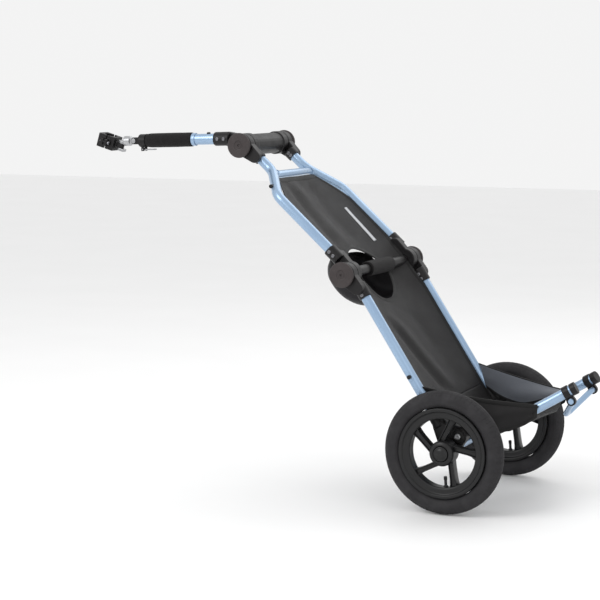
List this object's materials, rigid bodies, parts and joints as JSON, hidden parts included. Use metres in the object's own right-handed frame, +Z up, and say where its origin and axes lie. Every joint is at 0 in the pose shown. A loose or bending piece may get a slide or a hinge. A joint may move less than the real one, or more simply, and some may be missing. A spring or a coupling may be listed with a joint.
{
  "type": "folding bicycle cargo trailer",
  "caption": "Folding upright two-wheel cargo trailer with a tubular frame, fabric back, fold-up load tray and a tongue that clamps to a seat post.",
  "frame": {"origin": "middle of the seat-post clamp's bore, where the bicycle holds the trailer's front end up", "axes": "+X rearward, away from the bicycle; +Y to the trailer's right side; +Z up. The wheels' ground line is the lowest point."},
  "size_m": [1.3077, 0.544, 0.8999],
  "materials": {
    "blue_tube": "light blue anodised or powder-coated aluminium tube, satin",
    "black_plastic": "black glass-filled nylon, satin, fine mould grain",
    "wheel_plastic": "black moulded composite wheel, satin",
    "knob_plastic": "warm dark grey moulded release knob, matt with fine rings",
    "foam": "closed-cell black foam sleeve",
    "black_fabric": "black coated woven polyester with binding tape",
    "grey_fabric": "mid grey coated woven polyester, black binding",
    "tyre": "dark grey rubber, low block tread",
    "steel": "plated steel and satin aluminium",
    "reflective": "plain silver-grey reflective tape, no lettering"
  },
  "bodies": {
    "lower_frame": {"lower_rail_left": "blue_tube", "lower_rail_right": "blue_tube", "lower_knuckle_left": "black_plastic", "lower_knuckle_right": "black_plastic", "axle_bracket_left": "black_plastic", "axle_bracket_right": "black_plastic", "lower_boss_left": "black_plastic", "lower_boss_right": "black_plastic", "axle": "steel", "axle_tube": "blue_tube", "back_panel_lower": "black_fabric", "storage_pouch": "black_fabric", "tray_gusset_left": "grey_fabric", "tray_gusset_right": "grey_fabric", "mid_hinge_shaft": "steel", "carry_handle": "foam"},
    "upper_frame": {"upper_rail_left": "blue_tube", "upper_rail_right": "blue_tube", "upper_knuckle_left": "black_plastic", "upper_knuckle_right": "black_plastic", "top_knuckle_left": "black_plastic", "top_knuckle_right": "black_plastic", "upper_boss_left": "black_plastic", "upper_boss_right": "black_plastic", "crossbar": "blue_tube", "top_hinge_shaft": "steel", "back_panel_upper": "black_fabric"},
    "tongue": {"tongue_socket": "black_plastic", "top_barrel": "black_plastic", "tongue_tube": "blue_tube", "tongue_grip": "foam", "hitch_yoke": "black_plastic", "pitch_pin": "steel"},
    "hitch_link": {"hitch_link": "steel"},
    "seatpost_clamp": {"clamp_body": "black_plastic", "clamp_jaw": "black_plastic", "clamp_bolt": "steel"},
    "wheel_left": {"tyre_left": "tyre", "wheel_left": "wheel_plastic"},
    "wheel_right": {"tyre_right": "tyre", "wheel_right": "wheel_plastic"},
    "hub_button_left": {"hub_button_left": "wheel_plastic"},
    "hub_button_right": {"hub_button_right": "wheel_plastic"},
    "mid_knob_left": {"mid_knob_left": "knob_plastic"},
    "mid_knob_right": {"mid_knob_right": "knob_plastic"},
    "top_knob_left": {"top_knob_left": "knob_plastic"},
    "top_knob_right": {"top_knob_right": "knob_plastic"},
    "snap_button": {"snap_button": "black_plastic"},
    "release_lever": {"release_lever": "steel"},
    "tray": {"fork_tube_left": "blue_tube", "fork_tube_right": "blue_tube", "tray_hub_left": "black_plastic", "tray_hub_right": "black_plastic", "fork_cap_left": "black_plastic", "fork_cap_right": "black_plastic", "tray_floor": "black_fabric", "stand_clamp_left": "black_plastic", "stand_clamp_right": "black_plastic"},
    "stand": {"stand": "blue_tube"}
  },
  "joints": [
    {"name": "wheel_left_spin", "type": "hinge", "parent": "lower_frame", "child": "wheel_left", "pos_m": [0.99407, -0.143, -0.71951], "axis": [0, 1, 0], "continuous": true},
    {"name": "hub_button_left_press", "type": "slide", "parent": "wheel_left", "child": "hub_button_left", "axis": [0, 1, 0], "range_m": [0, 0.004], "stiffness_N_per_m": 1500, "springref_m": -0.001},
    {"name": "mid_knob_left_press", "type": "slide", "parent": "lower_frame", "child": "mid_knob_left", "axis": [0, 1, 0], "range_m": [0, 0.004], "stiffness_N_per_m": 2500, "springref_m": -0.001},
    {"name": "top_knob_left_press", "type": "slide", "parent": "upper_frame", "child": "top_knob_left", "axis": [0, 1, 0], "range_m": [0, 0.004], "stiffness_N_per_m": 2500, "springref_m": -0.001},
    {"name": "wheel_right_spin", "type": "hinge", "parent": "lower_frame", "child": "wheel_right", "pos_m": [0.99407, 0.343, -0.71951], "axis": [0, 1, 0], "continuous": true},
    {"name": "hub_button_right_press", "type": "slide", "parent": "wheel_right", "child": "hub_button_right", "axis": [0, -1, 0], "range_m": [0, 0.004], "stiffness_N_per_m": 1500, "springref_m": -0.001},
    {"name": "mid_knob_right_press", "type": "slide", "parent": "lower_frame", "child": "mid_knob_right", "axis": [0, -1, 0], "range_m": [0, 0.004], "stiffness_N_per_m": 2500, "springref_m": -0.001},
    {"name": "top_knob_right_press", "type": "slide", "parent": "upper_frame", "child": "top_knob_right", "axis": [0, -1, 0], "range_m": [0, 0.004], "stiffness_N_per_m": 2500, "springref_m": -0.001},
    {"name": "mid_hinge_fold", "type": "hinge", "parent": "lower_frame", "child": "upper_frame", "pos_m": [0.72244, 0.1, -0.30755], "axis": [0, 1, 0], "range_deg": [-140, 15], "deforming": ["storage_pouch"]},
    {"name": "top_hinge_fold", "type": "hinge", "parent": "upper_frame", "child": "tongue", "pos_m": [0.39635, 0.1, -0.00317], "axis": [0, 1, 0], "range_deg": [0, 90]},
    {"name": "hitch_pitch", "type": "hinge", "parent": "tongue", "child": "hitch_link", "pos_m": [0.08195, 0, 0.00286], "axis": [0, 1, 0], "range_deg": [-35, 35]},
    {"name": "hitch_yaw", "type": "hinge", "parent": "hitch_link", "child": "seatpost_clamp", "pos_m": [0.03454, 0, -0.01016], "axis": [0.2823, 0, 0.9593], "range_deg": [-55, 55]},
    {"name": "release_lever_pull", "type": "hinge", "parent": "tongue", "child": "release_lever", "pos_m": [0.10444, 0, -0.01937], "axis": [0, 1, 0], "range_deg": [0, 30], "stiffness_Nm_per_rad": 0.4, "springref_deg": -17.19},
    {"name": "snap_button_press", "type": "slide", "parent": "tongue", "child": "snap_button", "axis": [0.0349, 0, -0.9994], "range_m": [0, 0.003], "stiffness_N_per_m": 1200, "springref_m": -0.001},
    {"name": "tray_fold", "type": "hinge", "parent": "lower_frame", "child": "tray", "pos_m": [1.01807, 0.1, -0.68451], "axis": [0, 1, 0], "range_deg": [-90, 0], "deforming": ["tray_gusset_left", "tray_gusset_right"]},
    {"name": "stand_fold", "type": "hinge", "parent": "tray", "child": "stand", "pos_m": [1.26164, 0.19257, -0.60032], "axis": [0, 1, 0], "range_deg": [-68, 0]}
  ]
}
